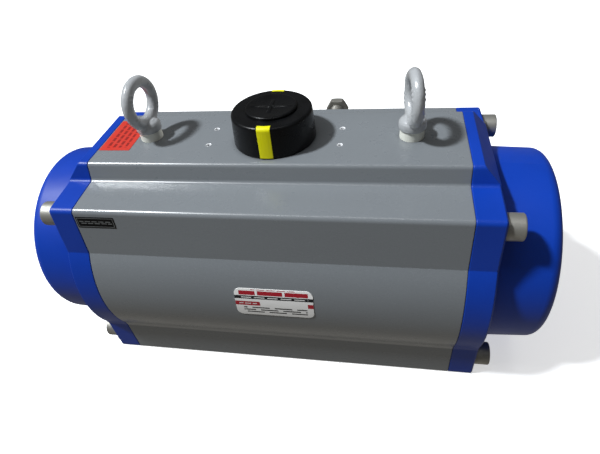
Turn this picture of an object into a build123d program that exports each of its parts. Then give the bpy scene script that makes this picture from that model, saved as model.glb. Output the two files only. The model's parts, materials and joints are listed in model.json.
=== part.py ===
from build123d import *
import os
from math import acos, cos, pi, radians, sin, sqrt, tan

# Double-acting rack and pinion pneumatic rotary actuator, 90 degree stroke.
# Frame: origin at the centre of the valve flange on the underside, +Z up along the drive shaft,
# +X along the cylinder bore, -Y towards the nameplate side. Lengths are in millimetres.
# At rest both pistons are drawn in against each other and the pinion stands at 0 degrees.

os.makedirs("parts", exist_ok=True)

# ---------------------------------------------------------------- driving dimensions
body_length = 362.0
body_height = 232.0
bore_radius = 90.0
bore_height = 102.5  # bore axis above the valve flange face

# cross-section of the extrusion, as half widths and depths below the top face
top_half_width = 48.0
step_half_width = 52.5
step_depth = 18.0
shoulder_half_width = 96.0
shoulder_depth = 21.0
flank_depth = 71.5  # where the flank meets the round cylinder wall
bulge_radius = 117.0
bulge_foot_height = 52.0
foot_half_width = 102.5
foot_draft = 1.3
foot_height = 45.5
top_edge_radius = 4.5
seam_bevel = 0.6  # where the end caps meet the body
rim_bevel = 1.5  # around the end caps' outer faces

# end caps
flange_thickness = 25.0
flange_top_thickness = 9.5  # the flange thins towards its top edge
slope_rise_per_mm = 1.15
dome_radius = 101.0
dome_end_radius = 98.5
dome_reach = 263.5  # outer face of the dome, from the actuator's centre
cap_cavity_radius = 87.0
cap_bolt_spots = [(-82, 195), (82, 195), (-86, 16), (86, 16)]  # (Y, Z)
bolt_radius = 8.0  # M16
cap_bolt_length = 60.0
cap_bolt_head_radius = 12.0
cap_bolt_key = 14.0

# drive train
gear_module = 4.0
gear_teeth = 20
pressure_angle = radians(20)
tooth_thinning = 0.3  # taken off each tooth for backlash
gear_half_height = 20.0
shaft_top = 258.6
socket_size = 36.0
socket_depth = 38.0
lower_journal_radius = 45.0
upper_journal_radius = 24.0
running_gap = 0.05
press_gap = 0.02

# pistons
piston_inner_face = 83.0
piston_thickness = 34.0
piston_radius = 89.7
rack_reach = 79.0  # how far a rack passes the drive axis at rest

# end stops
stop_offset = 45.0  # drive axis to each stop screw's axis
stop_height = 184.0
stop_tip = 12.3
stop_head_face = 150.0
cam_face = 12.0
cam_radius = 52.0
cam_bottom = 176.5
cam_thickness = 13.2
cam_hub_radius = 36.0
cam_pocket_radius = 58.0
cam_pocket_top = 193.0

# lifting eyebolts
eyebolt_offset = 131.0
eye_center_height = 38.5  # above the top face
eye_ring_radius = 20.5
eye_wire_radius = 6.2
eye_seat_height = 9.0
eyebolt_shank_radius = 6.0  # M12
collar_foot_radius = 12.6
eye_collar_top = 20.5  # above the top face
spacer_radius = 11.3

# position indicator
indicator_bottom = 232.8
indicator_top = 263.0
indicator_bottom_radius = 40.4
indicator_top_radius = 38.8
strip_width = 12.5

# ---------------------------------------------------------------- derived values
half_length = body_length / 2
cap_face = half_length + flange_thickness
pitch_radius = gear_module * gear_teeth / 2
tip_radius = pitch_radius + gear_module
root_radius = pitch_radius - 1.25 * gear_module
gear_bottom = bore_height - gear_half_height
gear_top = bore_height + gear_half_height
bore_axis = Axis((0, 0, bore_height), (1, 0, 0))
right_end = Plane(origin=(half_length, 0, 0), x_dir=(0, 1, 0), z_dir=(1, 0, 0))
left_end = Plane(origin=(-half_length, 0, 0), x_dir=(0, -1, 0), z_dir=(-1, 0, 0))
top_face = Plane.XY.offset(body_height)
underside = Plane(origin=(0, 0, 0), x_dir=(1, 0, 0), z_dir=(0, 0, -1))


def bulge_y(height):
    """Half width of the round cylinder wall at a height above the valve flange."""
    return sqrt(bulge_radius**2 - (height - bore_height) ** 2)


def body_outline(plane):
    """Cross-section shared by the body extrusion and the end cap flanges."""
    flank_foot = body_height - flank_depth
    with BuildSketch(plane) as outline:
        with BuildLine():
            bulge_top = (bulge_y(flank_foot), flank_foot)
            bulge_bottom = (bulge_y(bulge_foot_height), bulge_foot_height)
            FilletPolyline(
                (0, body_height),
                (top_half_width, body_height),
                (step_half_width, body_height - step_depth),
                (shoulder_half_width, body_height - shoulder_depth),
                bulge_top,
                radius=[top_edge_radius, 4, 5],
            )
            ThreePointArc(bulge_top, (bulge_radius, bore_height), bulge_bottom)
            FilletPolyline(
                bulge_bottom,
                (foot_half_width + foot_draft, foot_height),
                (foot_half_width, 0),
                (0, 0),
                radius=[1, 2],
            )
            mirror(about=Plane.YZ)
        make_face()
    return outline.sketch


def beveled_extrusion(low, high, low_bevel, high_bevel):
    """The cross-section extruded from X = low to X = high, with 45 degree bevels at its ends."""
    with BuildPart() as part:
        extrude(body_outline(Plane.YZ.offset(low + low_bevel)), amount=high - low - low_bevel - high_bevel)
        extrude(body_outline(Plane.YZ.offset(low + low_bevel)), amount=-low_bevel, taper=45)
        extrude(body_outline(Plane.YZ.offset(high - high_bevel)), amount=high_bevel, taper=45)
    return part.part


def ring(inner_radius, outer_radius, low, high):
    """Plain ring about the drive axis, or a disc if the inner radius is 0."""
    with BuildPart() as part:
        with BuildSketch(Plane.XY.offset(low)):
            Circle(outer_radius)
            if inner_radius > 0:
                Circle(inner_radius, mode=Mode.SUBTRACT)
        extrude(amount=high - low)
    return part.part


def bore_ring(inner_radius, outer_radius, low, high):
    """Ring about the bore axis from X = low to X = high, or a disc if the inner radius is 0."""
    with BuildPart() as part:
        with BuildSketch(Plane.YZ.offset(low)):
            with Locations((0, bore_height)):
                Circle(outer_radius)
                if inner_radius > 0:
                    Circle(inner_radius, mode=Mode.SUBTRACT)
        extrude(amount=high - low)
    return part.part


def finish(part, name):
    """Label a finished piece and write it as its own STEP file."""
    part.label = name
    export_step(part, f"parts/{name}.step")


def finish_pair(right_part, name):
    """Write a right-hand piece and its mirror image on the left."""
    finish(right_part, f"{name}_right")
    with BuildPart() as left_part:
        mirror(right_part, about=Plane.YZ)
    finish(left_part.part, f"{name}_left")


# ---------------------------------------------------------------- body
port_face = 115.5  # milled flat for the solenoid valve, on the +Y side
port_spacing = 24.0
port_radius = 5.72  # G1/4
port_depth = 13.5
channel_spot = (101.5, 77.5)  # (Y, Z) of the long air channel to the end chambers
channel_radius = 4.5
channel_seal_band = (5.4, 7.0)  # inner and outer radius of its groove
passage_radius = 4.0
cross_drill_radius = 3.2
port_pad = (76, 40)
solenoid_spacing = (32, 24)
solenoid_depth = 10.0
accessory_spacing = (130, 30)
accessory_depth = 12.0
m5_radius = 2.1
m5_countersink = 0.4
shaft_hole_gap = (0.15, 0.2)  # around the lower and upper journal
lower_wall_drill = 40.0
upper_wall_drill = 60.0
eyebolt_hole_depth = 24.0
cap_bolt_hole_depth = 42.0
flange_hole_depth = 20.0
stop_hole_depth = 80.0
port_pad_corner = 6.0
milling_height = 20.0  # how far cutters run out above the surfaces they cut
stop_seat = 97.0
spot_face_radius = 17.0
centring_radius = 50.0
centring_depth = 4.0
flange_circle = 140.0
flange_hole_radius = 7.0  # M16 before tapping
lower_bearing_radius = 47.5
lower_bearing_span = (9.5, 21.0)  # bottom, top
upper_bearing_radius = 27.0
upper_bearing_span = (195.0, 220.0)

with BuildPart() as body:
    add(beveled_extrusion(-half_length, half_length, seam_bevel, seam_bevel))
    add(bore_ring(0, bore_radius, -half_length, half_length), mode=Mode.SUBTRACT)
    # air channel along the wall
    with Locations(right_end):
        with Locations(channel_spot):
            Hole(channel_radius, depth=body_length)
    # pocket for the stop cam above the bore
    with Locations((0, 0, bore_height + bore_radius / 2)):
        Cylinder(
            cam_pocket_radius,
            cam_pocket_top - bore_height - bore_radius / 2,
            align=(Align.CENTER, Align.CENTER, Align.MIN),
            mode=Mode.SUBTRACT,
        )
    # shaft bearings: stepped holes through the top and bottom walls
    with Locations(top_face):
        Hole(upper_journal_radius + shaft_hole_gap[1], depth=upper_wall_drill)
        with Locations((0, 0, upper_bearing_span[1] - body_height)):
            Hole(upper_bearing_radius, depth=upper_wall_drill)
        with GridLocations(*accessory_spacing, 2, 2):
            CounterSinkHole(
                m5_radius, m5_radius + m5_countersink, depth=accessory_depth, counter_sink_angle=90
            )
        with GridLocations(2 * eyebolt_offset, 1, 2, 1):
            Hole(eyebolt_shank_radius + running_gap, depth=eyebolt_hole_depth)
    with Locations(underside):
        Hole(lower_journal_radius + shaft_hole_gap[0], depth=lower_wall_drill)
        Hole(centring_radius, depth=centring_depth)
        with Locations((0, 0, -lower_bearing_span[0])):
            Hole(lower_bearing_radius, depth=lower_wall_drill - lower_bearing_span[0])
        with PolarLocations(flange_circle / 2, 4, start_angle=45):
            Hole(flange_hole_radius, depth=flange_hole_depth)
    # tapped holes for the cap bolts
    for end in (right_end, left_end):
        with Locations(end):
            with Locations(*cap_bolt_spots):
                Hole(bolt_radius + running_gap, depth=cap_bolt_hole_depth)
    # stop screw holes with spot faces for the lock nuts
    stop_plane = Plane(origin=(0, stop_seat, stop_height), x_dir=(-1, 0, 0), z_dir=(0, 1, 0))
    with Locations(stop_plane):
        with GridLocations(2 * stop_offset, 1, 2, 1):
            Hole(bolt_radius + running_gap, depth=stop_hole_depth)
            Cylinder(
                spot_face_radius,
                milling_height,
                align=(Align.CENTER, Align.CENTER, Align.MIN),
                mode=Mode.SUBTRACT,
            )
    # solenoid valve interface on the rear
    port_plane = Plane(origin=(0, port_face, bore_height), x_dir=(-1, 0, 0), z_dir=(0, 1, 0))
    with BuildSketch(port_plane):
        RectangleRounded(*port_pad, port_pad_corner)
    extrude(amount=milling_height, mode=Mode.SUBTRACT)
    with Locations(port_plane):
        with GridLocations(port_spacing, 1, 2, 1):
            Hole(port_radius, depth=port_depth)
        with GridLocations(*solenoid_spacing, 2, 2):
            Hole(m5_radius, depth=solenoid_depth)
        with Locations((port_spacing / 2, 0)):
            Hole(passage_radius, depth=port_face - bore_radius + port_depth)
    # cross drilling from the other port down to the long channel
    with Locations((port_spacing / 2, channel_spot[0], channel_spot[1])):
        Cylinder(
            cross_drill_radius,
            bore_height - channel_spot[1],
            align=(Align.CENTER, Align.CENTER, Align.MIN),
            mode=Mode.SUBTRACT,
        )
finish(body.part, "body")

# ---------------------------------------------------------------- end caps
seal_groove = (91.5, 95.5)  # inner and outer radius
seal_groove_depth = 3.0
channel_groove_depth = 1.6
passage_depth = 9.0  # mating face to the radial air passage
cross_passage = (3.0, 24.0)  # radius, length
cap_cavity_end = dome_reach - 8  # the dome's end wall is 8 thick
dome_root = half_length + 5  # the dome is joined to the flange inside its thickness
dome_shoulder = 6.0  # the round step the dome rises from

with BuildPart() as end_cap:
    add(beveled_extrusion(half_length, cap_face, seam_bevel, rim_bevel))
    # the flange's outer face leans back towards its top edge
    slope_start = half_length + flange_top_thickness
    slope_end = cap_face + flange_top_thickness
    with BuildSketch(Plane.XZ):
        with BuildLine():
            Polyline(
                (slope_start, body_height),
                (slope_end, body_height - (slope_end - slope_start) * slope_rise_per_mm),
                (slope_end, body_height + 5),
                (slope_start, body_height + 5),
                close=True,
            )
        make_face()
    extrude(amount=bulge_radius, both=True, mode=Mode.SUBTRACT)
    # deep round dome over the piston's travel
    with BuildSketch(Plane.XZ):
        with BuildLine():
            FilletPolyline(
                (dome_root, bore_height),
                (dome_root, bore_height + dome_radius + dome_shoulder),
                (cap_face - 0.5, bore_height + dome_radius + dome_shoulder),
                (cap_face, bore_height + dome_radius + dome_shoulder - 0.5),
                (cap_face, bore_height + dome_radius),
                (dome_reach, bore_height + dome_end_radius),
                (dome_reach, bore_height),
                radius=[0, 0, 0, 4.5, 11],
            )
            Line((dome_reach, bore_height), (dome_root, bore_height))
        make_face()
    revolve(axis=bore_axis)
    with Locations((cap_face, 0, 0)):
        Box(
            2 * flange_thickness,
            2 * bulge_radius,
            milling_height,
            align=(Align.CENTER, Align.CENTER, Align.MAX),
            mode=Mode.SUBTRACT,
        )
    # hollow inside
    with BuildSketch(Plane.XZ):
        with BuildLine():
            FilletPolyline(
                (half_length, bore_height),
                (half_length, bore_height + cap_cavity_radius),
                (cap_cavity_end, bore_height + cap_cavity_radius - 2),
                (cap_cavity_end, bore_height),
                radius=[0, 10],
            )
            Line((cap_cavity_end, bore_height), (half_length, bore_height))
        make_face()
    revolve(axis=bore_axis, mode=Mode.SUBTRACT)
    # seal grooves in the mating face
    add(
        bore_ring(*seal_groove, half_length, half_length + seal_groove_depth),
        mode=Mode.SUBTRACT,
    )
    with BuildSketch(right_end):
        with Locations(channel_spot):
            Circle(channel_seal_band[1])
            Circle(channel_seal_band[0], mode=Mode.SUBTRACT)
    extrude(amount=channel_groove_depth, mode=Mode.SUBTRACT)
    # air passage from the channel into the hollow
    with BuildSketch(right_end):
        with Locations(channel_spot):
            Circle(passage_radius)
    extrude(amount=passage_depth + 5, mode=Mode.SUBTRACT)
    passage = Plane(
        origin=(half_length + passage_depth, *channel_spot),
        z_dir=(0, -channel_spot[0], bore_height - channel_spot[1]),
    )
    with Locations(passage):
        Cylinder(
            *cross_passage, align=(Align.CENTER, Align.CENTER, Align.MIN), mode=Mode.SUBTRACT
        )
    # bolt clearance holes
    with BuildSketch(right_end):
        with Locations(*cap_bolt_spots):
            Circle(bolt_radius + 1)
    extrude(amount=flange_thickness + 5, mode=Mode.SUBTRACT)
finish_pair(end_cap.part, "end_cap")

with BuildPart() as cap_seal:
    with BuildSketch(Plane.XZ):
        with Locations((half_length + seal_groove_depth / 2, bore_height + sum(seal_groove) / 2)):
            Circle(seal_groove_depth / 2 - running_gap)
    revolve(axis=bore_axis)
finish_pair(cap_seal.part, "cap_seal")

with BuildPart() as channel_seal:
    with BuildSketch(Plane.XZ.offset(-channel_spot[0])):
        with Locations((half_length + channel_groove_depth / 2, channel_spot[1] + 6.2)):
            Circle(channel_groove_depth / 2 - 0.1)
    revolve(axis=Axis((0, *channel_spot), (1, 0, 0)))
finish_pair(channel_seal.part, "channel_seal")


def socket_screw(radius, length, head_radius, head_height, key_size):
    """Socket head cap screw: head above Z = 0, shank below it."""
    with BuildPart() as screw:
        Cylinder(head_radius, head_height, align=(Align.CENTER, Align.CENTER, Align.MIN))
        fillet(screw.edges().sort_by(Axis.Z)[-1], radius=head_height / 12)
        with BuildSketch(Plane.XY.offset(head_height)):
            RegularPolygon(key_size / 2, 6, major_radius=False)
        extrude(amount=-head_height / 2, mode=Mode.SUBTRACT)
        Cylinder(radius, length, align=(Align.CENTER, Align.CENTER, Align.MAX))
        chamfer(screw.edges().sort_by(Axis.Z)[0], length=radius / 6)
    return screw.part


cap_screw = socket_screw(
    bolt_radius, cap_bolt_length, cap_bolt_head_radius, 2 * bolt_radius, cap_bolt_key
)
with BuildPart() as cap_bolts:
    with Locations(right_end.offset(flange_thickness)):
        with Locations(*cap_bolt_spots):
            add(cap_screw)
finish_pair(cap_bolts.part, "cap_bolts")

# ---------------------------------------------------------------- shaft bearings
upper_bearing = ring(
    upper_journal_radius + running_gap,
    upper_bearing_radius - press_gap,
    upper_bearing_span[0],
    upper_bearing_span[1] - 0.1,
)
lower_bearing = ring(
    lower_journal_radius + running_gap,
    lower_bearing_radius - press_gap,
    lower_bearing_span[0] + 0.1,
    lower_bearing_span[1],
)
finish(upper_bearing, "upper_bearing")
finish(lower_bearing, "lower_bearing")


# ---------------------------------------------------------------- pinion
base_radius = pitch_radius * cos(pressure_angle)
tooth_pitch = pi * gear_module
half_tooth = (tooth_pitch / 2 - tooth_thinning) / 2  # along the pitch line


def involute(angle):
    return tan(angle) - angle


def tooth_point(radius):
    """Point on the upper flank of the pinion tooth that lies on the X axis."""
    working_angle = acos(min(1.0, base_radius / radius))
    half_angle = half_tooth / pitch_radius + involute(pressure_angle) - involute(working_angle)
    return (radius * cos(half_angle), radius * sin(half_angle))


flank_steps = 4
flank_radii = [
    base_radius + (tip_radius - base_radius) * step / flank_steps for step in range(flank_steps + 1)
]
with BuildSketch() as tooth:
    with BuildLine():
        Spline(*[tooth_point(radius) for radius in flank_radii])
        Line(tooth_point(base_radius), tooth_point(root_radius - 1))
        Line(tooth_point(root_radius - 1), (root_radius - 1, 0))
        mirror(about=Plane.XZ)
        ThreePointArc(
            tooth_point(tip_radius),
            (tip_radius, 0),
            (tooth_point(tip_radius)[0], -tooth_point(tip_radius)[1]),
        )
    make_face()

neck_radius = 34.0
cam_seat_radius = 30.0
cam_seat_flats = 52.0
collar_radius = 22.0
shaft_end_radius = 16.0
shaft_end_flats = 24.0
shaft_bottom = centring_depth + 0.4
neck_bottom = 22.0
cam_seat_bottom = cam_bottom - 0.3
cam_seat_top = 190.0
collar_bottom = body_height + 0.2
collar_top = 238.5
shaft_flats_bottom = 244.0
screwdriver_slot = (40, 4, 6)
indicator_screw_hole = (2.5, 18)  # radius, depth
shaft_steps = [  # radius, bottom, top
    (lower_journal_radius, shaft_bottom, neck_bottom),
    (neck_radius, neck_bottom, cam_seat_bottom),
    (upper_journal_radius, cam_seat_top, collar_bottom),
    (collar_radius, collar_bottom, collar_top),
    (shaft_end_radius, collar_top, shaft_top),
]
lower_seal_groove = (42.4, 5.8, 8.9)  # radius, bottom, top
upper_seal_groove = (21.2, 222.5, 226.5)
circlip_groove = (20.7, 234.0, 235.7)


def flatted_disc(plane, radius, across_flats):
    """Round face with two flats, used for shaft seats and the holes that fit them."""
    with BuildSketch(plane) as disc:
        Circle(radius)
        Rectangle(2 * radius, across_flats, mode=Mode.INTERSECT)
    return disc.sketch


with BuildPart() as pinion:
    with BuildSketch(Plane.XY.offset(gear_bottom)):
        Circle(root_radius)
        with PolarLocations(0, gear_teeth):
            add(tooth.sketch)
    extrude(amount=2 * gear_half_height)
    for radius, low, high in shaft_steps:
        add(ring(0, radius, low, high))
    extrude(
        flatted_disc(Plane.XY.offset(cam_seat_bottom), cam_seat_radius, cam_seat_flats),
        amount=cam_seat_top - cam_seat_bottom,
    )
    for groove_radius, low, high in (lower_seal_groove, upper_seal_groove, circlip_groove):
        add(ring(groove_radius, lower_journal_radius + 5, low, high), mode=Mode.SUBTRACT)
    # double square drive socket for the valve stem
    with BuildSketch(Plane.XY.offset(shaft_bottom)):
        RectangleRounded(socket_size, socket_size, 1)
        RectangleRounded(socket_size, socket_size, 1, rotation=45)
    extrude(amount=socket_depth, mode=Mode.SUBTRACT)
    # flats, slot and screw hole at the accessory end
    with BuildSketch(Plane.XY.offset(shaft_flats_bottom)):
        Circle(shaft_end_radius + 1)
        Rectangle(3 * shaft_end_radius, shaft_end_flats, mode=Mode.SUBTRACT)
    extrude(amount=shaft_top - shaft_flats_bottom, mode=Mode.SUBTRACT)
    with Locations((0, 0, shaft_top)):
        Box(*screwdriver_slot, mode=Mode.SUBTRACT)
        Hole(indicator_screw_hole[0], depth=indicator_screw_hole[1])
finish(pinion.part, "pinion")


def seal_ring(radius, height, section):
    """Rubber ring of round section about the drive axis."""
    with BuildPart() as part:
        with Locations((0, 0, height)):
            Torus(radius, section)
    return part.part


lower_seal = (43.75, 7.35, 1.3)  # ring radius, height, section radius
upper_seal = (22.68, 224.5, 1.4)
thrust_washer_radius = 31.0
thrust_washer_span = (232.3, 233.7)
circlip_radius = 27.5
circlip_span = (234.1, 235.6)
circlip_gap = 9.0
circlip_hole = 1.2  # radius of the plier holes
circlip_hole_spot = (23.5, 7.5)
finish(seal_ring(*lower_seal), "pinion_lower_seal")
finish(seal_ring(*upper_seal), "pinion_upper_seal")
finish(ring(collar_radius + 0.1, thrust_washer_radius, *thrust_washer_span), "thrust_washer")

with BuildPart() as circlip:
    add(ring(circlip_groove[0] + 0.1, circlip_radius, *circlip_span))
    with Locations((circlip_radius, 0, circlip_span[0])):
        Box(circlip_radius, circlip_gap, 2 * circlip_gap, mode=Mode.SUBTRACT)
    with Locations((circlip_hole_spot[0], 0, circlip_span[0])):
        with GridLocations(1, 2 * circlip_hole_spot[1], 1, 2):
            Cylinder(circlip_hole, 2 * circlip_gap, mode=Mode.SUBTRACT)
finish(circlip.part, "circlip")

with BuildPart() as stop_cam:
    with BuildSketch(Plane.XY.offset(cam_bottom)):
        with Locations((cam_face, cam_face)):
            Rectangle(2 * cam_radius, 2 * cam_radius, align=(Align.MAX, Align.MAX))
        Circle(cam_radius, mode=Mode.INTERSECT)
        Circle(cam_hub_radius)
        add(
            flatted_disc(
                Plane.XY, cam_seat_radius + running_gap, cam_seat_flats + 2 * running_gap
            ),
            mode=Mode.SUBTRACT,
        )
    extrude(amount=cam_thickness)
finish(stop_cam.part, "stop_cam")

# ---------------------------------------------------------------- pistons
seal_section = 2.8
seal_spot = piston_inner_face + 23
guide_band = (6.1, 14.9)  # start and end, from the piston's inner face
guide_groove_radius = 87.3
piston_recess = (26.0, 72.0, 14.0)  # inner radius, outer radius, depth
arm_back_radius = 86.0
arm_root = pitch_radius + 1.25 * gear_module
rack_tip = pitch_radius - gear_module
pad_span = (-70.0, -40.0)
pad_inner_radius = 82.0
pad_height = 24.0


def pad_section(plane, inner_radius, outer_radius, height):
    """Curved strip on the -Y side of the bore."""
    with BuildSketch(plane) as strip:
        with Locations((0, bore_height)):
            Circle(outer_radius)
            Circle(inner_radius, mode=Mode.SUBTRACT)
        with Locations((-outer_radius, bore_height)):
            Rectangle(40, height, mode=Mode.INTERSECT)
    return strip.sketch


def rack_half_width(depth):
    """Half width of a rack tooth at a distance from the drive axis."""
    return half_tooth + (depth - pitch_radius) * tan(pressure_angle)


with BuildPart() as piston:
    add(bore_ring(0, piston_radius, piston_inner_face, piston_inner_face + piston_thickness))
    for inner, low, high in (
        (bore_radius - 2 * seal_section - 0.15, seal_spot - 3, seal_spot + 3),
        (
            guide_groove_radius,
            piston_inner_face + guide_band[0] - 0.1,
            piston_inner_face + guide_band[1] + 0.1,
        ),
    ):
        add(bore_ring(inner, bore_radius + 2, low, high), mode=Mode.SUBTRACT)
    outer_face = piston_inner_face + piston_thickness
    add(
        bore_ring(*piston_recess[:2], outer_face - piston_recess[2], outer_face + 1),
        mode=Mode.SUBTRACT,
    )
    # rack arm, reaching past the pinion on the -Y side
    with BuildSketch(Plane.YZ.offset(-rack_reach)):
        with Locations((0, bore_height)):
            Circle(arm_back_radius)
        with Locations((-arm_root, bore_height)):
            Rectangle(
                50,
                2 * gear_half_height,
                align=(Align.MAX, Align.CENTER),
                mode=Mode.INTERSECT,
            )
    extrude(amount=rack_reach + piston_inner_face + 1)
    # rack teeth
    with BuildSketch(Plane.XY.offset(gear_bottom)):
        with Locations(*[((step + 0.5) * tooth_pitch, 0) for step in range(-6, 2)]):
            Polygon(
                (-rack_half_width(arm_root + 0.5), -arm_root - 0.5),
                (rack_half_width(arm_root + 0.5), -arm_root - 0.5),
                (rack_half_width(rack_tip), -rack_tip),
                (-rack_half_width(rack_tip), -rack_tip),
                align=None,
            )
    extrude(amount=2 * gear_half_height)
    # pocket for the guide pad
    extrude(
        pad_section(
            Plane.YZ.offset(pad_span[0] - 0.1), pad_inner_radius, bore_radius, pad_height + 0.2
        ),
        amount=pad_span[1] - pad_span[0] + 0.2,
        mode=Mode.SUBTRACT,
    )

with BuildPart() as rack_pad:
    extrude(
        pad_section(
            Plane.YZ.offset(pad_span[0]), pad_inner_radius + 0.05, bore_radius - 0.07, pad_height
        ),
        amount=pad_span[1] - pad_span[0],
    )

with BuildPart() as piston_seal:
    with BuildSketch(Plane.XZ):
        with Locations((seal_spot, bore_height + bore_radius - seal_section - 0.1)):
            Circle(seal_section)
    revolve(axis=bore_axis)


def finish_turned_pair(right_part, name):
    """Write a right-hand piece and the same piece turned half a turn about the drive axis."""
    finish(right_part, f"{name}_right")
    with BuildPart() as left_part:
        add(right_part, rotation=(0, 0, 180))
    finish(left_part.part, f"{name}_left")


finish_turned_pair(piston.part, "piston")
finish_turned_pair(rack_pad.part, "rack_pad")
finish_turned_pair(piston_seal.part, "piston_seal")
finish_turned_pair(
    bore_ring(
        guide_groove_radius + running_gap,
        bore_radius - 0.07,
        piston_inner_face + guide_band[0],
        piston_inner_face + guide_band[1],
    ),
    "guide_band",
)

# ---------------------------------------------------------------- end stops
hexagon_size = 24.0
thread_pitch = 2.0
nut_height = 13.0
washer_height = 2.0


def hexagon(across_flats, height, hole_radius):
    """Hexagon with chamfered corners at its top, standing on Z = 0."""
    corner = across_flats / sqrt(3)
    with BuildPart() as part:
        with BuildSketch():
            RegularPolygon(across_flats / 2, 6, major_radius=False)
        extrude(amount=height)
        with BuildSketch(Plane.XZ):
            with BuildLine():
                Polyline(
                    (0, 0),
                    (corner, 0),
                    (corner, height - 1.1),
                    (corner - 1.9, height),
                    (0, height),
                    close=True,
                )
            make_face()
        revolve(mode=Mode.INTERSECT)
        if hole_radius > 0:
            with Locations((0, 0, height)):
                Hole(hole_radius, depth=height)
    return part.part


def stop_level(depth):
    """Plane across both stop screws at a distance behind the drive axis."""
    return Plane(origin=(0, depth, stop_height), x_dir=(-1, 0, 0), z_dir=(0, 1, 0))


head_height = 10.0
shank_length = stop_head_face - head_height - stop_tip
thread_start = stop_seat + washer_height + nut_height + 1 - stop_tip
with BuildPart() as stop_screw:
    Cylinder(bolt_radius, shank_length, align=(Align.CENTER, Align.CENTER, Align.MIN))
    chamfer(stop_screw.edges().sort_by(Axis.Z)[0], length=1.2)
    groove_count = int((shank_length - thread_start) / thread_pitch)
    with BuildSketch(Plane.XZ):
        with Locations(
            *[(bolt_radius, thread_start + thread_pitch * turn) for turn in range(groove_count)]
        ):
            Polygon((0.1, 0), (0.1, thread_pitch * 0.9), (-1.1, thread_pitch * 0.45), align=None)
    revolve(mode=Mode.SUBTRACT)
    with Locations((0, 0, shank_length)):
        add(hexagon(hexagon_size, head_height, 0))
for name, offset_sign in (("left", 1), ("right", -1)):
    with BuildPart() as placed_screw:
        with Locations(stop_level(stop_tip)):
            with Locations((offset_sign * stop_offset, 0)):
                add(stop_screw.part)
    finish(placed_screw.part, f"stop_screw_{name}")

with BuildPart() as stop_washers:
    with BuildSketch(stop_level(stop_seat)):
        with GridLocations(2 * stop_offset, 1, 2, 1):
            Circle(15)
            Circle(bolt_radius + 0.3, mode=Mode.SUBTRACT)
    extrude(amount=washer_height)
finish(stop_washers.part, "stop_washers")

lock_nut = hexagon(hexagon_size, nut_height, bolt_radius + running_gap)
with BuildPart() as stop_nuts:
    with Locations(stop_level(stop_seat + washer_height)):
        with GridLocations(2 * stop_offset, 1, 2, 1):
            add(lock_nut)
finish(stop_nuts.part, "stop_nuts")

# ---------------------------------------------------------------- lifting eyebolts
eye_turn = radians(8)
eye_center = (eyebolt_offset, 0, body_height + eye_center_height)
eye_plane = Plane(origin=eye_center, z_dir=(cos(eye_turn), sin(eye_turn), 0))
seat_level = Plane(origin=(eyebolt_offset, 0, body_height + eye_seat_height))
with BuildPart() as eyebolt:
    with BuildSketch(Plane.XZ):
        with BuildLine():
            FilletPolyline(
                (eyebolt_offset, body_height + eye_seat_height),
                (eyebolt_offset + collar_foot_radius, body_height + eye_seat_height),
                (eyebolt_offset + collar_foot_radius + 0.4, body_height + eye_seat_height + 7.5),
                (eyebolt_offset + 8, body_height + eye_collar_top),
                (eyebolt_offset, body_height + eye_collar_top),
                radius=[1.5, 3.5, 1],
            )
            Line(
                (eyebolt_offset, body_height + eye_collar_top),
                (eyebolt_offset, body_height + eye_seat_height),
            )
        make_face()
    revolve(axis=Axis((eyebolt_offset, 0, 0), (0, 0, 1)))
    with Locations(eye_plane):
        Torus(eye_ring_radius, eye_wire_radius)
    with Locations(seat_level):
        Cylinder(eyebolt_shank_radius, 31, align=(Align.CENTER, Align.CENTER, Align.MAX))
finish_pair(eyebolt.part, "eyebolt")

with BuildPart() as eyebolt_spacer:
    with Locations((eyebolt_offset, 0, body_height)):
        Cylinder(spacer_radius, eye_seat_height, align=(Align.CENTER, Align.CENTER, Align.MIN))
        Cylinder(
            6.3, eye_seat_height, align=(Align.CENTER, Align.CENTER, Align.MIN), mode=Mode.SUBTRACT
        )
finish_pair(eyebolt_spacer.part, "eyebolt_spacer")

# ---------------------------------------------------------------- position indicator
band_proud = 0.4
band_sunk = 0.8
indicator_edge = 3.0


def strip_bands(extra):
    """Two narrow bands over the indicator's side wall and rim, on its -Y and +Y sides."""
    outer = indicator_top_radius + band_proud + extra
    inner = indicator_top_radius - band_sunk - extra
    slant = indicator_bottom_radius - indicator_top_radius
    top = indicator_top + band_proud + extra
    low = indicator_bottom + 0.5
    with BuildPart() as bands:
        with BuildSketch(Plane.XZ):
            with BuildLine():
                FilletPolyline(
                    (outer + slant, low),
                    (outer, top),
                    (inner - 4, top),
                    (inner - 4, top - band_proud - band_sunk - 2 * extra),
                    (inner, top - band_proud - band_sunk - 2 * extra),
                    (inner + slant, low),
                    radius=[indicator_edge + band_proud, 0, 0, indicator_edge - band_sunk],
                )
                Line((inner + slant, low), (outer + slant, low))
            make_face()
        revolve()
        Box(strip_width + 2 * extra, 100, 600, mode=Mode.INTERSECT)
    return bands.part


with BuildPart() as indicator_cup:
    with BuildSketch(Plane.XZ):
        with BuildLine():
            FilletPolyline(
                (36, indicator_bottom),
                (indicator_bottom_radius, indicator_bottom),
                (indicator_top_radius, indicator_top),
                (0, indicator_top),
                (0, 259.2),
                (34.5, 259.2),
                radius=[0.6, indicator_edge, 0, 0],
            )
            Line((34.5, 259.2), (36, indicator_bottom))
        make_face()
    revolve()
    # hub that grips the flats of the shaft end
    with BuildSketch(Plane.XY.offset(246)):
        Circle(20)
        add(
            flatted_disc(Plane.XY, shaft_end_radius + running_gap, shaft_end_flats + 0.1),
            mode=Mode.SUBTRACT,
        )
    extrude(amount=259.3 - 246)
    with Locations((0, 0, indicator_top)):
        CounterBoreHole(3.2, 7, counter_bore_depth=2, depth=4)
    add(strip_bands(0.02), mode=Mode.SUBTRACT)
finish(indicator_cup.part, "indicator_cup")
finish(strip_bands(0), "indicator_strips")

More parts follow.
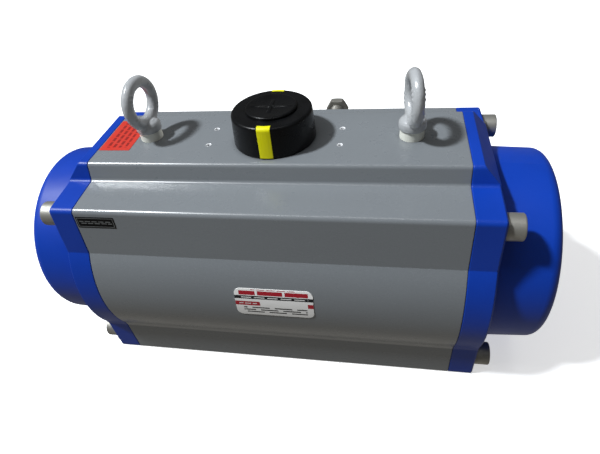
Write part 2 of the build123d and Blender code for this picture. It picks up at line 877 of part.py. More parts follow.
with BuildPart() as indicator_cap:
    with Locations((0, 0, indicator_top)):
        Cylinder(24.8, 2.8, align=(Align.CENTER, Align.CENTER, Align.MIN))
        fillet(indicator_cap.edges().sort_by(Axis.Z)[-1], radius=1.6)
        Cylinder(8, 1.9, align=(Align.CENTER, Align.CENTER, Align.MIN), mode=Mode.SUBTRACT)
    # shallow pointer mark in the top
    with BuildSketch(Plane.XY.offset(indicator_top + 2.8)):
        Rectangle(42, 1.8)
        with Locations((0, 5)):
            Triangle(a=10, b=9, c=9)
    extrude(amount=-0.6, mode=Mode.SUBTRACT)
finish(indicator_cap.part, "indicator_cap")

with BuildPart() as indicator_screw:
    with Locations((0, 0, indicator_top - 2)):
        Cylinder(5.5, 3.4, align=(Align.CENTER, Align.CENTER, Align.MIN))
        fillet(indicator_screw.edges().sort_by(Axis.Z)[-1], radius=1)
        Cylinder(2.45, 16, align=(Align.CENTER, Align.CENTER, Align.MAX))
    with BuildSketch(Plane.XY.offset(indicator_top + 1.4)):
        Rectangle(5, 1)
        Rectangle(1, 5)
    extrude(amount=-2, mode=Mode.SUBTRACT)
finish(indicator_screw.part, "indicator_screw")

# ---------------------------------------------------------------- labels
plate_center = (5.8, 116.7)  # (X, Z) on the round cylinder wall
with BuildPart() as nameplate:
    with BuildSketch(Plane.XZ.offset(bulge_radius - 12)):
        with Locations(plate_center):
            RectangleRounded(77.5, 34.2, 6.5)
    extrude(amount=14)
    add(bore_ring(bulge_radius, bulge_radius + 0.4, -100, 100), mode=Mode.INTERSECT)
finish(nameplate.part, "nameplate")

with BuildPart() as warning_label:
    with BuildSketch(top_face):
        with Locations((-162.8, 3.8)):
            RectangleRounded(33.5, 58.5, 0.8)
    extrude(amount=0.25)
finish(warning_label.part, "warning_label")

flank_foot_height = body_height - flank_depth
flank_lean = (
    bulge_y(flank_foot_height) - shoulder_half_width,
    body_height - shoulder_depth - flank_foot_height,
)
flank_plane = Plane(
    origin=(-160, -shoulder_half_width, body_height - shoulder_depth),
    x_dir=(1, 0, 0),
    z_dir=(0, -flank_lean[1], flank_lean[0]),
)
with BuildPart() as ports_label:
    with BuildSketch(flank_plane):
        with Locations((0.2, -12.6)):
            RectangleRounded(39.5, 12, 0.5)
    extrude(amount=0.25)
finish(ports_label.part, "ports_label")
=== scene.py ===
import json
from math import cos, exp, hypot, pi, radians, sin, sqrt

import bmesh
import bpy
from mathutils import Matrix, Vector, noise


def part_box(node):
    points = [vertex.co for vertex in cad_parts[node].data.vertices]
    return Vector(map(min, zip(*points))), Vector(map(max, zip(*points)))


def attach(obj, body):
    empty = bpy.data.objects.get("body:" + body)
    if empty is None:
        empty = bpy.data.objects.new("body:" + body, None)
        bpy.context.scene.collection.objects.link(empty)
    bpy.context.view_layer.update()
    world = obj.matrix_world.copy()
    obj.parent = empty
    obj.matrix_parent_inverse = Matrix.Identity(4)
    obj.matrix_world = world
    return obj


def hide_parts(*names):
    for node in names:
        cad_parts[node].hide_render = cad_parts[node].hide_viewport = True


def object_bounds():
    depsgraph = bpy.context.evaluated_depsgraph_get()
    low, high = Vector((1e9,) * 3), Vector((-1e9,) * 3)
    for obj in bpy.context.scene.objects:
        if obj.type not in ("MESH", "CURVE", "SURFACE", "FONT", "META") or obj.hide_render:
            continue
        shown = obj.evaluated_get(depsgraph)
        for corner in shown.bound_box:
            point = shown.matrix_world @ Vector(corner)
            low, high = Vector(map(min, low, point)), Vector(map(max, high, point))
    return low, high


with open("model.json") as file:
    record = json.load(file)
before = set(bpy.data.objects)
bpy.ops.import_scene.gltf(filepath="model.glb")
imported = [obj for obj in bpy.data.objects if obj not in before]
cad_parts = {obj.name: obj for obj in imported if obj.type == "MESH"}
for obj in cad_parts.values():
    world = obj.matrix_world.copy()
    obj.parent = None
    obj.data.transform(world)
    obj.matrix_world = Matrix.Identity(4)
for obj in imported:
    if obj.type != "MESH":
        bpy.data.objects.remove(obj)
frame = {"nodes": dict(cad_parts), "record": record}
nodes = frame["nodes"]
cad_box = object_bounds()

MM = 0.001
UP = Vector((0, 0, 1))
# near-white colour of the painted highlight round the accessory holes
HOLE_HIGHLIGHT_COLOR = (0.90, 0.91, 0.93)

# ---------------------------------------------------------------- material building blocks


class Paint:
    """A procedural material. Patterns are placed in the row frame, in metres."""

    def __init__(self, name):
        self.material = bpy.data.materials.new(name)
        self.material.use_nodes = True
        self.tree = self.material.node_tree
        self.tree.nodes.clear()
        output = self.node("ShaderNodeOutputMaterial")
        self.shader = self.node("ShaderNodeBsdfPrincipled")
        self.link(self.shader.outputs["BSDF"], output.inputs["Surface"])
        self.place = self.node("ShaderNodeTexCoord").outputs["Object"]
        self.geometry = self.node("ShaderNodeNewGeometry")

    def node(self, kind, **settings):
        made = self.tree.nodes.new(kind)
        for key, value in settings.items():
            setattr(made, key, value)
        return made

    def link(self, source, target):
        self.tree.links.new(source, target)

    def feed(self, socket, value):
        """Link an output into a socket, or set a plain value on it."""
        if isinstance(value, bpy.types.NodeSocket):
            self.link(value, socket)
        else:
            socket.default_value = value

    def set(self, **constants):
        """Plain values on the shader's own sockets."""
        for key, value in constants.items():
            self.shader.inputs[key.replace("_", " ")].default_value = value

    def stretched(self, scale):
        mapping = self.node("ShaderNodeMapping")
        self.link(self.place, mapping.inputs["Vector"])
        mapping.inputs["Scale"].default_value = scale
        return mapping.outputs["Vector"]

    def noise(self, size, detail=2.0, roughness=0.5, stretch=(1, 1, 1), offset=0.0):
        """Smooth noise whose blotches are about size metres across."""
        texture = self.node("ShaderNodeTexNoise", noise_dimensions="4D")
        self.link(self.stretched(stretch), texture.inputs["Vector"])
        texture.inputs["W"].default_value = offset
        texture.inputs["Scale"].default_value = 1 / size
        texture.inputs["Detail"].default_value = detail
        texture.inputs["Roughness"].default_value = roughness
        return texture.outputs["Fac"]

    def math(self, operation, first, second=0.0):
        made = self.node("ShaderNodeMath", operation=operation)
        self.feed(made.inputs[0], first)
        self.feed(made.inputs[1], second)
        return made.outputs[0]

    def spread(self, value, low, high, out_low=0.0, out_high=1.0):
        """Map low..high of a value onto out_low..out_high, clamped."""
        made = self.node("ShaderNodeMapRange", clamp=True)
        self.feed(made.inputs["Value"], value)
        made.inputs["From Min"].default_value = low
        made.inputs["From Max"].default_value = high
        made.inputs["To Min"].default_value = out_low
        made.inputs["To Max"].default_value = out_high
        return made.outputs["Result"]

    def mix(self, share, first, second):
        made = self.node("ShaderNodeMix", data_type="RGBA", clamp_factor=True)
        self.feed(made.inputs["Factor"], share)
        for socket, color in ((made.inputs[6], first), (made.inputs[7], second)):
            if isinstance(color, bpy.types.NodeSocket):
                self.link(color, socket)
            else:
                socket.default_value = (*color, 1)
        return made.outputs[2]

    def rounded_normal(self, radius):
        """Surface normal as if every edge had a small radius."""
        bevel = self.node("ShaderNodeBevel", samples=6)
        bevel.inputs["Radius"].default_value = radius
        return bevel.outputs["Normal"]

    def edges(self, radius):
        """1 on corners and edges, 0 on flat faces."""
        dot = self.node("ShaderNodeVectorMath", operation="DOT_PRODUCT")
        self.link(self.rounded_normal(radius), dot.inputs[0])
        self.link(self.geometry.outputs["Normal"], dot.inputs[1])
        return self.spread(self.math("SUBTRACT", 1.0, dot.outputs["Value"]), 0.02, 0.25)

    def corner_shade(self, distance):
        """Mask for painted shade: 1 in tight corners and holes, 0 in the open, read from ambient occlusion.
        """
        occlusion = self.node("ShaderNodeAmbientOcclusion", samples=8)
        occlusion.inputs["Distance"].default_value = distance
        return self.spread(occlusion.outputs["AO"], 0.35, 0.95, 1.0, 0.0)

    def bump(self, height, distance, under=None):
        """Normal for a relief that is distance metres high, over a normal under it."""
        made = self.node("ShaderNodeBump")
        made.inputs["Distance"].default_value = distance
        self.link(height, made.inputs["Height"])
        if under is not None:
            self.link(under, made.inputs["Normal"])
        return made.outputs["Normal"]

    def axis(self, name):
        separate = self.node("ShaderNodeSeparateXYZ")
        self.link(self.place, separate.inputs["Vector"])
        return separate.outputs[name]

    def band(self, value, low, high):
        """1 where value lies between low and high."""
        above = self.math("GREATER_THAN", value, low)
        below = self.math("LESS_THAN", value, high)
        return self.math("MULTIPLY", above, below)

    def block(self, low, high, axes=("X", "Z")):
        """1 inside a rectangle given by its corners, in metres."""
        first = self.band(self.axis(axes[0]), low[0], high[0])
        second = self.band(self.axis(axes[1]), low[1], high[1])
        return self.math("MULTIPLY", first, second)

    def finish(self, color, roughness, normal):
        self.feed(self.shader.inputs["Base Color"], color)
        self.feed(self.shader.inputs["Roughness"], roughness)
        self.feed(self.shader.inputs["Normal"], normal)
        return self.material


def accessory_hole_highlight(paint):
    """1 on a ring round each of the four small holes beside the indicator, reaching a little way down the
    hole: where a painted highlight goes.
    """
    holes = next(m for m in frame["record"]["mounts"] if m["name"] == "accessory_bolts")
    highlight_radius = 2.8 * MM
    highlight_depth = 3 * MM
    squares = []
    for name in ("x", "y"):
        off_middle = paint.math("ABSOLUTE", paint.axis(name.upper()))
        off_hole = paint.math("SUBTRACT", off_middle, holes["dims"][f"spacing_{name}_mm"] / 2 * MM)
        squares.append(paint.math("MULTIPLY", off_hole, off_hole))
    near = paint.math("LESS_THAN", paint.math("ADD", *squares), highlight_radius**2)
    upper = paint.math("GREATER_THAN", paint.axis("Z"), holes["pos_m"][2] - highlight_depth)
    return paint.math("MULTIPLY", near, upper)


def painted_metal(
    name, color, light, dark, gloss, grain, edge_radius, flow=(1, 1, 1), coat=0.2, shine=0.5, hole_highlight=None
):
    """Satin paint: soft tone changes, orange peel, smudges, paler edges that are partly thin paint and
    partly a painted highlight, and painted shade in corners.

    gloss is the lowest roughness, and the last argument is a mask of the places painted near-white as a
    painted highlight.
    """
    paint = Paint(name)
    tone = paint.noise(0.09, detail=3, roughness=0.55, stretch=flow)
    base = paint.mix(paint.spread(tone, 0.3, 0.7), dark, color)
    speckle = paint.noise(0.0011, detail=1, offset=3.0)
    base = paint.mix(paint.spread(speckle, 0.55, 0.8, 0.0, 0.08), base, light)
    # paler edges: partly thin paint worn through, partly a painted highlight along the edges
    pale_edges = paint.math(
        "MULTIPLY",
        paint.edges(edge_radius),
        paint.spread(paint.noise(0.006, detail=4, roughness=0.7), 0.35, 0.75, 0.15, 0.75),
    )
    base = paint.mix(pale_edges, base, light)
    # painted shade: darker in tight corners and holes
    base = paint.mix(paint.math("MULTIPLY", paint.corner_shade(0.006), 0.55), base, [c * 0.35 for c in dark])
    # painted highlight: a near-white ring round each accessory hole and down its wall
    if hole_highlight is not None:
        base = paint.mix(hole_highlight(paint), base, HOLE_HIGHLIGHT_COLOR)
    smudges = paint.noise(0.035, detail=5, roughness=0.62, stretch=(1, 1, 2.2), offset=7.0)
    roughness = paint.spread(smudges, 0.35, 0.7, gloss - 0.02, gloss + 0.06)
    peel = paint.noise(grain, detail=1.5, offset=11.0)
    lines = paint.noise(0.0008, detail=1, stretch=(0.01, 1, 1), offset=5.0)
    relief = paint.math("ADD", peel, paint.math("MULTIPLY", lines, 0.12))
    normal = paint.bump(relief, 0.000022, under=paint.rounded_normal(edge_radius))
    paint.set(Coat_Weight=coat, Coat_Roughness=0.22, Specular_IOR_Level=shine)
    return paint.finish(base, roughness, normal)


def bare_metal(name, color, dark, roughness):
    """Plated, machined or cast metal with stains, fine grain, bright edges and painted shade in holes and
    corners.
    """
    paint = Paint(name)
    radius = 0.4 * MM
    blotch = paint.noise(0.009, detail=5, roughness=0.65)
    base = paint.mix(paint.spread(blotch, 0.38, 0.72, 0.0, 0.4), color, dark)
    # painted shade: darker in holes and tight corners
    base = paint.mix(paint.math("MULTIPLY", paint.corner_shade(0.004), 0.8), base, [c * 0.25 for c in dark])
    pale_edges = [min(1, c * 1.5) for c in color]
    base = paint.mix(paint.math("MULTIPLY", paint.edges(radius), 0.5), base, pale_edges)
    fine = paint.noise(0.0007, detail=3, roughness=0.7, offset=2.0)
    stained = paint.spread(blotch, 0.3, 0.7, roughness - 0.06, roughness + 0.1)
    rough = paint.math("ADD", stained, paint.spread(fine, 0.3, 0.7, -0.04, 0.04))
    normal = paint.bump(fine, 0.00004, under=paint.rounded_normal(radius))
    paint.set(Metallic=0.75)
    return paint.finish(base, rough, normal)


def moulded(
    name, color, light, roughness, grain=0.0009, radius=0.0005, stretch=(1, 1, 1), depth=0.00004, shine=0.5
):
    """Moulded plastic or rubber with a fine skin texture, light scuffs and paler edges."""
    paint = Paint(name)
    tone = paint.noise(0.02, detail=4, roughness=0.6)
    base = paint.mix(paint.spread(tone, 0.35, 0.7, 0.0, 0.5), color, light)
    scuffs = paint.noise(0.004, detail=6, roughness=0.8, stretch=(1, 0.25, 1), offset=9.0)
    base = paint.mix(paint.spread(scuffs, 0.62, 0.75, 0.0, 0.4), base, light)
    base = paint.mix(paint.math("MULTIPLY", paint.edges(radius), 0.45), base, light)
    skin = paint.noise(grain, detail=2, stretch=stretch, offset=4.0)
    rough = paint.spread(tone, 0.3, 0.7, roughness - 0.05, roughness + 0.09)
    normal = paint.bump(skin, depth, under=paint.rounded_normal(radius))
    paint.set(Specular_IOR_Level=shine)
    return paint.finish(base, rough, normal)


def printed(name, ground, marks, roughness, wear, shine=0.35):
    """Printed film: marks is a list of (mask function, color) laid over the ground."""
    paint = Paint(name)
    blotch = paint.noise(0.012, detail=4, roughness=0.6)
    base = paint.mix(paint.spread(blotch, 0.3, 0.75, 0.0, 0.25), ground, wear)
    for mask, color in marks:
        base = paint.mix(mask(paint), base, color)
    rub = paint.noise(0.0035, detail=6, roughness=0.8, offset=6.0)
    base = paint.mix(paint.spread(rub, 0.62, 0.8, 0.0, 0.5), base, wear)
    rough = paint.spread(blotch, 0.3, 0.7, roughness - 0.05, roughness + 0.12)
    ripple = paint.noise(0.006, detail=2, offset=8.0)
    normal = paint.bump(ripple, 0.00008, under=paint.rounded_normal(0.00015))
    paint.set(Specular_IOR_Level=shine)
    return paint.finish(base, rough, normal)


# ---------------------------------------------------------------- materials


def word_bars(axes, low, high, pitch, run):
    """Mask of short bars in rows, standing for printed lines without drawing any letters."""

    def mask(paint):
        across, up = paint.axis(axes[0]), paint.axis(axes[1])
        rows = paint.math("DIVIDE", paint.math("SUBTRACT", up, low[1]), pitch)
        line = paint.band(paint.math("FRACT", rows), 0.25, 0.75)
        row_number = paint.math("FLOOR", rows)
        shift = paint.math("MULTIPLY", row_number, 0.37)
        shifted = paint.math("ADD", paint.math("DIVIDE", across, run), shift)
        dash = paint.math("LESS_THAN", paint.math("FRACT", shifted), 0.78)
        inside = paint.block(low, high, axes)
        return paint.math("MULTIPLY", paint.math("MULTIPLY", line, dash), inside)

    return mask


def block_mask(low, high):
    """Mask of a rectangle on an upright label."""
    return lambda paint: paint.block(low, high)


def nameplate_film():
    """White plate with red and black bands and rows of bars."""
    low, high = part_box("nameplate")
    left, right, bottom, top = low.x, high.x, low.z, high.z
    width, height = right - left, top - bottom
    red, black, pale = (0.40, 0.012, 0.025), (0.012, 0.012, 0.015), (0.85, 0.84, 0.83)

    def part(x0, z0, x1, z1):
        return (left + x0 * width, bottom + z0 * height), (left + x1 * width, bottom + z1 * height)

    def dashes(x0, z0, x1, z1, pitch, run, color):
        low_corner, high_corner = part(x0, z0, x1, z1)
        return word_bars(("X", "Z"), low_corner, high_corner, pitch * height, run * width), color

    marks = [
        dashes(0.22, 0.945, 0.78, 0.985, 0.04, 0.13, red),
        (block_mask(*part(0.06, 0.785, 0.27, 0.925)), red),
        (block_mask(*part(0.30, 0.785, 0.62, 0.925)), red),
        (block_mask(*part(0.65, 0.785, 0.94, 0.925)), red),
        (block_mask(*part(0.0, 0.645, 1.0, 0.76)), black),
        dashes(0.06, 0.67, 0.94, 0.73, 0.06, 0.17, pale),
        (block_mask(*part(0.0, 0.40, 0.32, 0.55)), red),
        (block_mask(*part(0.93, 0.40, 1.0, 0.55)), red),
        dashes(0.05, 0.445, 0.28, 0.505, 0.06, 0.10, pale),
        dashes(0.10, 0.09, 0.92, 0.36, 0.09, 0.29, black),
    ]
    return printed("plate_film", (0.93, 0.92, 0.91), marks, 0.3, (0.78, 0.77, 0.76))


def warning_film():
    """Red label with rows of dark bars across it."""
    low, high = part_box("warning_label")
    inset = 5 * MM
    red, dark_red, rubbed = (0.58, 0.035, 0.022), (0.26, 0.016, 0.013), (0.50, 0.07, 0.05)
    first_corner = (low.y + inset, low.x + inset)
    last_corner = (high.y - inset, high.x - inset)
    lines = word_bars(("Y", "X"), first_corner, last_corner, 6.4 * MM, 8.5 * MM)
    return printed("warning_film", red, [(lines, dark_red)], 0.45, rubbed)


def ports_film():
    """Black label with a thin pale frame and a row of pale blocks."""
    low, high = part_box("ports_label")
    pale, black, rubbed = (0.16, 0.165, 0.165), (0.003, 0.003, 0.003), (0.008, 0.008, 0.008)
    middle = (low.z + high.z) / 2

    def inset(edge):
        return (low.x + edge, low.z + edge), (high.x - edge, high.z - edge)

    row_low = (low.x + 3 * MM, middle - 2 * MM)
    row_high = (high.x - 3 * MM, middle + 2 * MM)
    marks = [
        (block_mask(*inset(1.0 * MM)), pale),
        (block_mask(*inset(1.6 * MM)), black),
        (word_bars(("X", "Z"), row_low, row_high, 2 * MM, 7 * MM), pale),
    ]
    return printed("ports_film", black, marks, 0.55, rubbed, shine=0.12)


def concentric(name, color, dark, roughness):
    """Turned steel: fine rings about the drive axis, and painted shade in corners."""
    paint = Paint(name)
    across, along = paint.axis("X"), paint.axis("Y")
    squares = paint.math("ADD", paint.math("POWER", across, 2.0), paint.math("POWER", along, 2.0))
    radius = paint.math("SQRT", squares)
    rings = paint.math("SINE", paint.math("MULTIPLY", radius, 2 * pi / (0.35 * MM)))
    blotch = paint.noise(0.012, detail=5, roughness=0.65)
    base = paint.mix(paint.spread(blotch, 0.35, 0.7, 0.0, 0.5), color, dark)
    # painted shade: darker in corners and holes
    base = paint.mix(paint.math("MULTIPLY", paint.corner_shade(0.005), 0.8), base, [c * 0.3 for c in dark])
    normal = paint.bump(rings, 0.000006, under=paint.rounded_normal(0.0004))
    paint.set(Metallic=1.0)
    return paint.finish(base, paint.spread(blotch, 0.3, 0.7, roughness - 0.05, roughness + 0.1), normal)


# the body paint has a painted highlight round its four accessory holes
body_paint = painted_metal(
    "body_paint", (0.208, 0.226, 0.243), (0.44, 0.46, 0.48), (0.188, 0.203, 0.219), 0.27, 0.0016, 0.0009,
    flow=(0.25, 1, 1), coat=0.25, hole_highlight=accessory_hole_highlight,
)
cap_paint = painted_metal(
    "cap_paint", (0.003, 0.048, 0.43), (0.02, 0.12, 0.62), (0.002, 0.038, 0.35), 0.42, 0.0022, 0.0014,
    coat=0.04, shine=0.3,
)
eyebolt_paint = painted_metal(
    "eyebolt_paint", (0.53, 0.545, 0.56), (0.80, 0.81, 0.83), (0.40, 0.415, 0.43), 0.27, 0.0030, 0.0006,
    coat=0.6,
)
stainless = bare_metal("stainless", (0.42, 0.41, 0.375), (0.17, 0.16, 0.14), 0.50)
pinion_steel = concentric("pinion_steel", (0.45, 0.45, 0.46), (0.22, 0.22, 0.22), 0.28)
piston_aluminium = bare_metal("piston_aluminium", (0.62, 0.63, 0.64), (0.40, 0.40, 0.40), 0.35)
spring_steel = bare_metal("spring_steel", (0.12, 0.12, 0.13), (0.04, 0.04, 0.04), 0.4)
spacer_plastic = moulded("spacer_plastic", (0.82, 0.83, 0.75), (0.92, 0.92, 0.84), 0.38)
bearing_plastic = moulded("bearing_plastic", (0.66, 0.62, 0.50), (0.78, 0.74, 0.62), 0.45)
seal_rubber = moulded("seal_rubber", (0.012, 0.012, 0.012), (0.04, 0.04, 0.04), 0.55)
indicator_black = moulded(
    "indicator_black", (0.0030, 0.0032, 0.0036), (0.009, 0.0095, 0.011), 0.27, radius=0.0008, shine=0.2
)
indicator_yellow = moulded(
    "indicator_yellow", (0.84, 0.81, 0.001), (0.86, 0.82, 0.03), 0.42, grain=0.0012, stretch=(1, 1, 0.05),
    depth=0.00015, shine=0.25,
)

slot_material = {
    "body_paint": body_paint,
    "cap_paint": cap_paint,
    "eyebolt_paint": eyebolt_paint,
    "stainless": stainless,
    "pinion_steel": pinion_steel,
    "piston_aluminium": piston_aluminium,
    "spring_steel": spring_steel,
    "spacer_plastic": spacer_plastic,
    "bearing_plastic": bearing_plastic,
    "seal_rubber": seal_rubber,
    "indicator_black": indicator_black,
    "indicator_yellow": indicator_yellow,
    "plate_film": nameplate_film(),
    "warning_film": warning_film(),
    "ports_film": ports_film(),
}

for part in frame["record"]["subparts"]:
    mesh = nodes[part["node"]].data
    mesh.materials.clear()
    mesh.materials.append(slot_material[part["material_slot"]])

# ---------------------------------------------------------------- pieces built here


def new_object(name, mesh, material):
    mesh.materials.clear()
    mesh.materials.append(material)
    made = bpy.data.objects.new(name, mesh)
    bpy.context.scene.collection.objects.link(made)
    return made


def baked(name, source):
    """The source's mesh with its modifiers applied. The source is removed."""
    graph = bpy.context.evaluated_depsgraph_get()
    mesh = bpy.data.meshes.new_from_object(source.evaluated_get(graph))
    mesh.name = name
    old = source.data
    bpy.data.objects.remove(source)
    bpy.data.meshes.remove(old)
    return mesh


def lathe(mesh, profile, center, turns=64):
    """Add a closed solid of revolution about a vertical line. The profile is a list of (radius, height)."""
    rings = []
    for radius, height in profile:
        if radius == 0:
            rings.append([mesh.verts.new((center[0], center[1], height))] * turns)
            continue
        rings.append(
            [
                mesh.verts.new((center[0] + radius * cos(turn), center[1] + radius * sin(turn), height))
                for turn in (2 * pi * i / turns for i in range(turns))
            ]
        )
    for low, high in zip(rings, rings[1:]):
        for i in range(turns):
            j = (i + 1) % turns
            corners = list(dict.fromkeys((low[i], low[j], high[j], high[i])))
            if len(corners) > 2:
                mesh.faces.new(corners)


def eye_ring(mesh, center, level, normal, ring_radius, wire_radius):
    """The eye: a torus that thickens towards its foot, with a parting line round its outside."""
    steps, around = 160, 40
    thicker_foot = 0.16
    parting_height = 0.2 * MM
    parting_angle = 0.15
    loops = []
    for i in range(steps):
        angle = 2 * pi * i / steps
        outward = level * cos(angle) + UP * sin(angle)
        thickening = 1 + thicker_foot * max(0.0, -sin(angle)) ** 2
        flat = 0.93 if thickening > 1.01 else 0.96
        loop = []
        for j in range(around):
            tilt = 2 * pi * j / around
            off_plane = min(tilt, 2 * pi - tilt)
            parting = parting_height * exp(-((off_plane / parting_angle) ** 2))
            reach = wire_radius * thickening + parting
            across = outward * (ring_radius + reach * cos(tilt))
            loop.append(mesh.verts.new(center + across + normal * (reach * sin(tilt) * flat)))
        loops.append(loop)
    for i in range(steps):
        for j in range(around):
            k, n = (i + 1) % steps, (j + 1) % around
            mesh.faces.new((loops[i][j], loops[k][j], loops[k][n], loops[i][n]))


def eye_collar_and_shank(mesh, center, seat, foot, shank_end):
    """The round collar that stands on the spacer, and the shank below it."""
    collar = [
        (0, seat),
        (foot - 0.8 * MM, seat),
        (foot, seat + 0.8 * MM),
        (foot + 0.3 * MM, seat + 4 * MM),
        (foot, seat + 7 * MM),
        (foot - 1.8 * MM, seat + 9.6 * MM),
        (foot - 5 * MM, seat + 11.6 * MM),
        (0, seat + 12.5 * MM),
    ]
    lathe(mesh, collar, center)
    shank_radius = 6 * MM
    shank_bevel = 0.8 * MM
    shank_top = seat + 2 * MM
    shank = [
        (0, shank_end),
        (shank_radius - shank_bevel, shank_end),
        (shank_radius, shank_end + 1 * MM),
        (shank_radius, shank_top),
        (0, shank_top),
    ]
    lathe(mesh, shank, center, turns=48)


def eye_pads(mesh, center, level, normal, ring_radius, face_height):
    """Small raised pads on both faces of the eye, three in each of four groups."""
    pad_size = (1.3 * MM, 2.4 * MM, 0.9 * MM)  # along the ring, across it, and high
    group_middles = (-24, 33, 147, 204)
    for angle in (middle + step for middle in group_middles for step in (-11, 0, 11)):
        outward = level * cos(radians(angle)) + UP * sin(radians(angle))
        along = outward.cross(normal)
        turned = Matrix((along * pad_size[0], outward * pad_size[1], normal * pad_size[2]))
        shape = turned.transposed().to_4x4()
        for face in (-1, 1):
            pad = center + outward * ring_radius + normal * (face * face_height)
            place = Matrix.Translation(pad) @ shape
            bmesh.ops.create_icosphere(mesh, subdivisions=2, radius=1.0, matrix=place)


def forged_skin(name, rough):
    """One smooth skin over the rough pieces, which flow together."""
    remesh = rough.modifiers.new("skin", "REMESH")
    remesh.mode = "VOXEL"
    remesh.voxel_size = 0.55 * MM
    smooth = rough.modifiers.new("flow", "SMOOTH")
    smooth.factor = 0.5
    smooth.iterations = 5
    return baked(name, rough)


def roughen(skin, seat, top):
    """Forging lumps above the seat, kept below the given top."""
    coarse = (0.16 * MM, 210)  # height, and lumps per metre
    fine = (0.06 * MM, 620)
    fade = 3 * MM
    directions = [vertex.normal.copy() for vertex in skin.vertices]
    for vertex, direction in zip(skin.vertices, directions):
        lump = sum(height * noise.noise(vertex.co * count) for height, count in (coarse, fine))
        share = min(1.0, max(0.0, (vertex.co.z - seat) / fade))
        moved = vertex.co + direction * (lump * share)
        moved.z = min(moved.z, top)
        vertex.co = moved


def forged_eyebolt(side, sign):
    """Drop-forged lifting eye: ring and collar flow together, with a parting line and small raised pads."""
    node = f"eyebolt_{side}"
    name = f"forged_{node}"
    low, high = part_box(node)
    mount = next(m for m in frame["record"]["mounts"] if m["name"] == f"lifting_eye_{side}")
    center = Vector(mount["pos_m"])
    ring_radius = 20.3 * MM
    room_for_lumps = 0.6 * MM
    wire_radius = high.z - center.z - ring_radius - room_for_lumps
    turn = radians(8)  # the rings stand a little askew
    normal = Vector((sign * cos(turn), sin(turn), 0))
    level = normal.cross(UP).normalized()
    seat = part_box("body")[1].z + 9 * MM
    collar_radius = 12.6 * MM
    mesh = bmesh.new()
    eye_ring(mesh, center, level, normal, ring_radius, wire_radius)
    eye_collar_and_shank(mesh, center, seat, collar_radius, low.z)
    eye_pads(mesh, center, level, normal, ring_radius, 0.93 * wire_radius)
    bmesh.ops.recalc_face_normals(mesh, faces=mesh.faces)
    data = bpy.data.meshes.new(name)
    mesh.to_mesh(data)
    mesh.free()
    skin = forged_skin(name, new_object(f"rough_{node}", data, eyebolt_paint))
    roughen(skin, seat, high.z)
    skin.shade_smooth()
    eyebolt = new_object(name, skin, eyebolt_paint)
    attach(eyebolt, "housing")
    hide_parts(node)


for side, sign in (("left", -1), ("right", 1)):
    forged_eyebolt(side, sign)


def disc_height(x, y, radius, thickness):
    """Height of the disc's top at a place measured from its middle: a shallow dish with a cross in it."""
    distance = hypot(x, y)
    dish_depth = 1.25 * MM
    dish_rim = 2.2 * MM
    long_half, long_width = 21 * MM, 1.5 * MM
    short_half, short_width = 14 * MM, 1.8 * MM
    edge = 1.7 * MM
    dish = dish_depth * max(0.0, 1 - (distance / (radius - dish_rim)) ** 2)
    long_rib = exp(-((y / long_width) ** 6)) * max(0.0, 1 - (abs(x) / long_half) ** 4)
    short_rib = exp(-((x / short_width) ** 6)) * max(0.0, 1 - (abs(y) / short_half) ** 3)
    height = thickness - dish + dish_depth * max(long_rib, short_rib * 0.9)
    rounding = min(edge, max(0.0, distance - (radius - edge)))
    drop = edge - sqrt(edge**2 - rounding**2)
    return min(height, thickness) - drop


def indicator_disc():
    """Moulded disc on the indicator: rounded edge, shallow dish and a raised cross along the bore."""
    low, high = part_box("indicator_cap")
    center = (low + high) / 2
    radius = (high.x - low.x) / 2
    thickness = high.z - low.z
    mesh = bmesh.new()
    turns, rings = 192, 72
    even_share = 0.6  # the rings are evenly spaced up to here, then closer towards the edge
    even_reach = sin(even_share * pi / 2) / even_share
    middle = mesh.verts.new((center.x, center.y, low.z + disc_height(0, 0, radius, thickness)))
    inner = None
    for k in range(1, rings + 1):
        share = k / rings
        reach = radius * (sin(share * pi / 2) if share > even_share else share * even_reach)
        ring = []
        for i in range(turns):
            x, y = reach * cos(2 * pi * i / turns), reach * sin(2 * pi * i / turns)
            height = disc_height(x, y, radius, thickness)
            ring.append(mesh.verts.new((center.x + x, center.y + y, low.z + height)))
        for i in range(turns):
            j = (i + 1) % turns
            corners = (middle, ring[i], ring[j]) if inner is None else (inner[i], ring[i], ring[j], inner[j])
            mesh.faces.new(corners)
        inner = ring
    foot = [mesh.verts.new((v.co.x, v.co.y, low.z)) for v in inner]
    for i in range(turns):
        j = (i + 1) % turns
        mesh.faces.new((inner[i], foot[i], foot[j], inner[j]))
    mesh.faces.new(list(reversed(foot)))
    bmesh.ops.recalc_face_normals(mesh, faces=mesh.faces)
    data = bpy.data.meshes.new("indicator_disc")
    mesh.to_mesh(data)
    mesh.free()
    data.shade_smooth()
    disc = new_object("indicator_disc", data, indicator_black)
    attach(disc, "drive")
    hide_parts("indicator_cap")


indicator_disc()

# ---------------------------------------------------------------- floor, light, camera


def studio_floor():
    """Pale paper under the actuator, left out of its reflections and bounced light."""
    half = 6.0
    level = cad_box[0].z - 0.2 * MM
    corners = [(x * half, y * half, level) for x, y in ((-1, -1), (1, -1), (1, 1), (-1, 1))]
    mesh = bpy.data.meshes.new("floor")
    mesh.from_pydata(corners, [], [(0, 1, 2, 3)])
    floor = bpy.data.objects.new("floor", mesh)
    bpy.context.scene.collection.objects.link(floor)
    paint = Paint("floor_paper")
    tone = paint.noise(0.4, detail=3)
    base = paint.mix(paint.spread(tone, 0.3, 0.7), (0.88, 0.88, 0.88), (0.91, 0.91, 0.91))
    mesh.materials.append(paint.finish(base, 0.7, paint.bump(paint.noise(0.002), 0.00002)))
    # the paper glows a little, as on a light table, so the shadow on it stays pale
    paint.set(Emission_Color=(1, 1, 1, 1), Emission_Strength=0.55)
    floor.visible_diffuse = False
    floor.visible_glossy = False


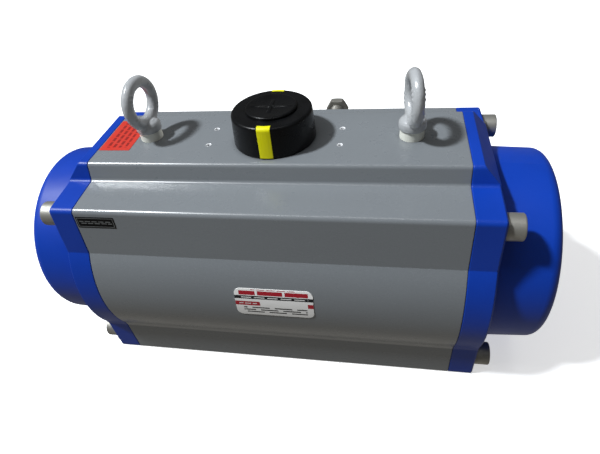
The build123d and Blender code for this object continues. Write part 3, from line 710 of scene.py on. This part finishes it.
def soft_light(name, direction, distance, size, power, width=None, color=(1, 1, 1), target=(0, 0, 0.12)):
    """A round softbox, or a long one lying along X if a width is given."""
    lamp = bpy.data.lights.new(name, "AREA")
    lamp.shape = "DISK" if width is None else "RECTANGLE"
    lamp.size = size
    lamp.size_y = width or size
    lamp.energy = power
    lamp.color = color
    lamp_object = bpy.data.objects.new(name, lamp)
    bpy.context.scene.collection.objects.link(lamp_object)
    toward = Vector(direction).normalized()
    up = toward.cross(Vector((1, 0, 0))).normalized()
    across = up.cross(toward)
    turned = Matrix((across, up, toward)).transposed().to_4x4()
    lamp_object.matrix_world = Matrix.Translation(Vector(target) + toward * distance) @ turned
    return lamp_object


def studio_world():
    """Dim surroundings: brightest from below, as over a pale floor, and darkest at the horizon."""
    world = bpy.data.worlds.new("studio")
    world.use_nodes = True
    tree = world.node_tree
    background = tree.nodes["Background"]
    direction = tree.nodes.new("ShaderNodeTexCoord").outputs["Generated"]
    height = tree.nodes.new("ShaderNodeSeparateXYZ")
    tree.links.new(direction, height.inputs[0])
    ramp = tree.nodes.new("ShaderNodeValToRGB")
    ramp.color_ramp.elements[0].position = 0.0
    ramp.color_ramp.elements[0].color = (0.35, 0.335, 0.305, 1)
    ramp.color_ramp.elements[1].position = 1.0
    ramp.color_ramp.elements[1].color = (0.12, 0.125, 0.13, 1)
    horizon = ramp.color_ramp.elements.new(0.5)
    horizon.color = (0.10, 0.096, 0.088, 1)
    lifted = tree.nodes.new("ShaderNodeMapRange")
    lifted.inputs["From Min"].default_value = -1
    tree.links.new(height.outputs["Z"], lifted.inputs["Value"])
    tree.links.new(lifted.outputs["Result"], ramp.inputs["Fac"])
    tree.links.new(ramp.outputs["Color"], background.inputs["Color"])
    bpy.context.scene.world = world


def photo_camera():
    """Camera above and in front of the actuator, close enough for strong perspective."""
    position = (0.1097, -0.3905, 0.4688)
    azimuth, elevation, roll = radians(13.95), radians(41.54), radians(-7.52)
    back = Vector((sin(azimuth) * cos(elevation), -cos(azimuth) * cos(elevation), sin(elevation)))
    level_right = Vector((cos(azimuth), sin(azimuth), 0))
    level_up = back.cross(level_right)
    right = cos(roll) * level_right + sin(roll) * level_up
    up = back.cross(right)
    camera = bpy.data.objects.new("camera", bpy.data.cameras.new("camera"))
    camera.data.lens = 28.0
    camera.data.clip_start = 0.01
    turned = Matrix((right, up, back)).transposed().to_4x4()
    camera.matrix_world = Matrix.Translation(position) @ turned
    bpy.context.scene.collection.objects.link(camera)
    bpy.context.scene.camera = camera


studio_floor()
studio_world()
soft_light("key_light", (-0.65, -0.20, 1), 6.0, 0.6, 440, color=(0.93, 0.97, 1.0))
soft_light("edge_light", (0, -0.2, 1), 1.1, 1.3, 2.2, width=0.12, target=(-0.3, 0, 0.12))
back_light = soft_light("back_light", (0.35, 1, 0.12), 2.0, 0.45, 16)
back_light.visible_glossy = False  # it only fills the far side
photo_camera()
bpy.context.scene.view_settings.view_transform = "Standard"
